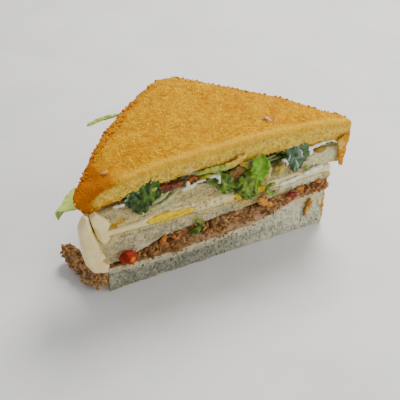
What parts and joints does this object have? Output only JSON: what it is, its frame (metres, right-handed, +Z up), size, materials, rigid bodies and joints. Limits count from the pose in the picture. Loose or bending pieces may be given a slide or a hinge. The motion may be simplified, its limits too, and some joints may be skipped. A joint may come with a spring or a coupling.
{
  "type": "club sandwich wedge",
  "caption": "Diagonally cut half of a toasted club sandwich: bread slices round tuna, sliced boiled egg and dressed salad, standing on its bottom slice.",
  "frame": {"origin": "middle of the sandwich's footprint, on the flat underside of the bottom slice", "axes": "X runs along the cut face, from the left tip to the right tip; Y runs from the cut face to the right-angled corner; Z is up, through the layers"},
  "size_m": [0.1458, 0.0766, 0.0691],
  "materials": {
    "bread": "soft white bread crumb with small pores and a golden crust at the outer sides",
    "toast": "fine-grained golden toasted face over a pale crumb",
    "tuna": "moist flaked tuna spread",
    "egg_white": "smooth moist boiled egg white",
    "egg_yolk": "crumbly boiled egg yolk",
    "salad": "shredded salad with dressing",
    "mayonnaise": "smooth creamy dressing",
    "leaf": "thin moist dark green leaf",
    "lettuce": "thin pale green leaf",
    "tomato": "wet red tomato",
    "pepper": "wet orange pepper",
    "pickle": "wet olive-coloured pickle",
    "onion": "wet green onion"
  },
  "bodies": {
    "root": {"bread_bottom": "bread", "tuna": "tuna", "tuna_clump": "tuna", "bread_lower": "bread", "egg_white": "egg_white", "egg_yolk_left": "egg_yolk", "egg_yolk_right": "egg_yolk", "egg_slice_tip": "egg_white", "egg_wedge_tip": "egg_white", "bread_upper": "bread", "salad": "salad", "mayonnaise": "mayonnaise", "bread_top": "toast", "crust_flap": "toast", "leaf_left": "leaf", "leaf_middle_left": "leaf", "leaf_middle": "leaf", "leaf_bright": "leaf", "leaf_right": "leaf", "parsley_piece": "leaf", "lettuce_side": "lettuce", "lettuce_sprig": "lettuce", "tomato_strip": "tomato", "tomato_dice": "tomato", "pepper_curl": "pepper", "carrot_bit": "pepper", "cucumber_strip": "pickle", "pickle_slice": "pickle", "olive": "pickle", "onion_ring": "onion"}
  },
  "joints": []
}
